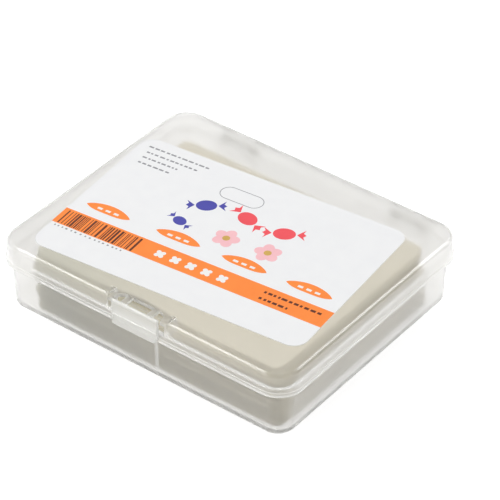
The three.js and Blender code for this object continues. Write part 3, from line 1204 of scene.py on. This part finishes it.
def gridSlabFaces(first, columns, rows):
    wide = columns + 1
    layer = wide * (rows + 1)
    faces = []
    for r in range(rows):
        for c in range(columns):
            a = first + r * wide + c
            faces.append((a, a + wide, a + wide + 1, a + 1))
            faces.append((a + layer, a + layer + 1, a + layer + wide + 1, a + layer + wide))
    rim = [first + c for c in range(columns)]
    rim += [first + r * wide + columns for r in range(rows)]
    rim += [first + rows * wide + c for c in range(columns, 0, -1)]
    rim += [first + r * wide for r in range(rows, 0, -1)]
    for i, a in enumerate(rim):
        b = rim[(i + 1) % len(rim)]
        faces.append((a, b, b + layer, a + layer))
    return faces


flatCount = buildFlatSheets()
buildCurledSheets(flatCount)
print("stage: wafer sheets")

label = {
    "width": 78.0,
    "depth": 53.0,
    "corner": 4.0,
    "cornerSteps": 14,
    "centre": ((labelLow.x + labelHigh.x) / 2, (labelLow.y + labelHigh.y) / 2),
    "turn": 5.3,
    "low": labelLow.z,
    "top": labelHigh.z,
    "edgeRound": 0.04,
    "ink": 0.012,
    "overInk": 0.02,
    "inkSink": 0.01,
}


def onLabel(points):
    return turnedOutline(points, label["centre"], label["turn"])


def letLightThrough(piece):
    # thin paper and the milky lid spread the light, so no shadow of the sticker shows on the sheets
    piece.visible_shadow = False
    piece.visible_diffuse = False


def buildLabel():
    rings = []
    edge = label["edgeRound"]
    for inset, z in ((0, label["low"]), (0, label["top"] - edge), (edge, label["top"])):
        width = label["width"] - 2 * inset
        depth = label["depth"] - 2 * inset
        outline = roundedOutline(width, depth, label["corner"] - inset, label["cornerSteps"])
        rings.append((z, onLabel(outline)))
    piece = loft("stickerPaper", rings)
    piece.data.materials.append(paperMaterial)
    letLightThrough(piece)
    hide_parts("lid_label")
    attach(piece, "lid")


def rectangle(centreU, centreV, width, height):
    return [(centreU + x * width / 2, centreV + y * height / 2) for x, y in squareCorners]


def ellipse(centreU, centreV, radiusU, radiusV, degrees=0, steps=36):
    points = [(radiusU * a, radiusV * b) for a, b in arc(0, 0, 1, 0, 360, steps)[:-1]]
    return turnedOutline(points, (centreU, centreV), degrees)


def flower(centreU, centreV, radius, petals, depth, degrees, steps=90):
    points = []
    for step in range(steps):
        angle = 2 * math.pi * step / steps
        reach = radius * (1 - depth + depth * abs(math.cos(petals * angle / 2)))
        points.append((reach * math.cos(angle), reach * math.sin(angle)))
    return turnedOutline(points, (centreU, centreV), degrees)


def lozenge(centreU, centreV, width, height, steps=24):
    # a long drop shape, arched above and nearly flat below
    above, below = 0.65 * height, 0.35 * height
    points = []
    for step in range(steps + 1):
        share = step / steps * 2 - 1
        points.append((share * width / 2, -below * (1 - share ** 4)))
    for step in range(1, steps):
        share = 1 - step / steps * 2
        points.append((share * width / 2, above * (1 - share ** 2) ** 0.8))
    return [(centreU + u, centreV + v) for u, v in points]


# shares of the sweet's size
wrapped = {
    "body": (0.30, 0.24),
    "fan": ((0.33, 0), (0.55, 0.22), (0.50, 0.08), (0.58, 0), (0.50, -0.08), (0.55, -0.22)),
}


def sweet(centreU, centreV, size, degrees):
    # a wrapped sweet: a round body between two fans of twisted paper
    radiusU, radiusV = (share * size for share in wrapped["body"])
    outlines = [ellipse(centreU, centreV, radiusU, radiusV, degrees)]
    for side in (-1, 1):
        fan = [(side * u * size, v * size) for u, v in wrapped["fan"]]
        outlines.append(turnedOutline(fan, (centreU, centreV), degrees))
    return outlines


def printInk(name, colour, outlines, lift, hollows=()):
    # a hollow is a ring, given by its outer and its inner outline
    vertices, faces = [], []
    low = label["top"] - label["inkSink"]
    high = label["top"] + lift
    for outline in outlines:
        addSlab(vertices, faces, onLabel(outline), low, high)
    for outer, inner in hollows:
        first = len(vertices)
        count = len(outer)
        rings = [onLabel(outer), onLabel(inner)]
        for z, ring in ((low, 0), (high, 0), (high, 1), (low, 1)):
            vertices += [(x, y, z) for x, y in rings[ring]]
        for level in range(4):
            a, b = first + level * count, first + ((level + 1) % 4) * count
            for i in range(count):
                j = (i + 1) % count
                faces.append((a + i, a + j, b + j, b + i))
    piece = makePiece(name, vertices, faces)
    piece.data.materials.append(inkMaterials[colour])
    letLightThrough(piece)
    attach(piece, "lid")


band = {
    "middle": -13.5,
    "height": 6.5,
    "inset": 0.02,
    "stripesFrom": -37.6,
    "stripesTo": -15.6,
    "stripeWidths": (0.22, 0.22, 0.4, 0.62),
    "stripeGaps": (0.25, 0.25, 0.45, 0.7),
    "stripeHeight": 5.6,
    "stripeDrop": 0.2,
    "seed": 5,
}


def bandOutline():
    return rectangle(0, band["middle"], label["width"] - 2 * band["inset"], band["height"])


def stripeOutlines():
    chance = np.random.default_rng(band["seed"])
    outlines = []
    u = band["stripesFrom"]
    v = band["middle"] - band["stripeDrop"]
    while u < band["stripesTo"]:
        width = chance.choice(band["stripeWidths"])
        outlines.append(rectangle(u + width / 2, v, width, band["stripeHeight"]))
        u += width + chance.choice(band["stripeGaps"])
    return outlines


dash = {
    "widths": (0.5, 1.6),
    "narrowest": 0.15,
    "gap": 0.45,
    "gapSpread": (0.8, 1.4),
}


def dashRow(startU, endU, v, height, seed, widths=dash["widths"], gap=dash["gap"]):
    chance = np.random.default_rng(seed)
    outlines = []
    u = startU
    while u < endU:
        width = min(chance.uniform(*widths), endU - u)
        if width > dash["narrowest"]:
            outlines.append(rectangle(u + width / 2, v, width, height))
        u += width + gap * chance.uniform(*dash["gapSpread"])
    return outlines


# places are measured from the sticker's middle
# a row of dashes is its start, end, place, height and seed, and a sweet its place, size and turn
layout = {
    "lozenges": ((-29.3, -6.1), (-8.6, -5.8), (10.7, -5.9), (29.3, -6.0)),
    "lozengeSize": (13.0, 3.5),
    "bars": (-2.4, 0, 2.4),
    "barSize": (1.4, 0.75),
    "emblems": (-8.8, -4.3, 0.2, 4.7, 9.3),
    "emblemLine": -13.6,
    "emblemShape": {"radius": 1.55, "petals": 4, "depth": 0.45, "degrees": 45},
    "marks": ((20.6, 36.6, -12.4, 0.8, 11), (20.6, 29.2, -15.0, 0.8, 12)),
    "blueSweets": ((-10.0, 9.3, 9.0, 28), (-12.2, 0.4, 6.6, -22)),
    "redSweets": ((1.6, 10.2, 9.6, -25), (12.6, 9.8, 9.6, 24)),
    "flowers": ((1.4, 0.6, 12), (13.2, 1.0, 40)),
    "flowerShape": {"radius": 3.6, "petals": 5, "depth": 0.3},
    "eyeSize": (1.0, 1.0),
    "rows": (
        (-36.2, -17.4, 22.8, 0.55, 21),
        (-35.4, -20.0, 20.4, 0.55, 22),
        (-35.2, -24.6, 18.1, 0.55, 23),
        (-35.0, -25.6, 15.7, 0.55, 24),
    ),
    "dots": (-37.6, -16.6, -17.6, 0.5, 25),
    "dotWidths": (0.35, 0.6),
    "dotGap": 0.8,
    "ring": (-4.3, 16.9),
    "ringSize": (12.4, 5.2),
    "ringLine": 0.2,
}


def ringOutlines():
    width, height = layout["ringSize"]
    return [
        roundedOutline(width - 2 * inset, height - 2 * inset, height / 2 - inset, 10, layout["ring"])
        for inset in (0, layout["ringLine"])
    ]


def several(shape, places):
    return [outline for place in places for outline in shape(*place)]


def buildPrint():
    lozenges = [lozenge(u, v, *layout["lozengeSize"]) for u, v in layout["lozenges"]]
    printInk("printOrange", "orange", [bandOutline()] + lozenges, label["ink"])
    printInk("printStripes", "brown", stripeOutlines(), label["overInk"])
    emblems = [flower(u, layout["emblemLine"], **layout["emblemShape"]) for u in layout["emblems"]]
    for u, v in layout["lozenges"]:
        emblems += [rectangle(u + shift, v, *layout["barSize"]) for shift in layout["bars"]]
    printInk("printWhite", "white", emblems, label["overInk"])
    printInk("printMarks", "brown", several(dashRow, layout["marks"]), label["overInk"])
    printInk("printBlue", "blue", several(sweet, layout["blueSweets"]), label["ink"])
    printInk("printRed", "red", several(sweet, layout["redSweets"]), label["ink"])
    flowers = [flower(u, v, degrees=turn, **layout["flowerShape"]) for u, v, turn in layout["flowers"]]
    printInk("printPink", "pink", flowers, label["ink"])
    eyes = [ellipse(u, v, *layout["eyeSize"]) for u, v, turn in layout["flowers"]]
    printInk("printAmber", "amber", eyes, label["overInk"])
    rows = several(dashRow, layout["rows"])
    rows += dashRow(*layout["dots"], layout["dotWidths"], layout["dotGap"])
    printInk("printGrey", "grey", rows, label["ink"], [ringOutlines()])


buildLabel()
buildPrint()
print("stage: sticker and print")
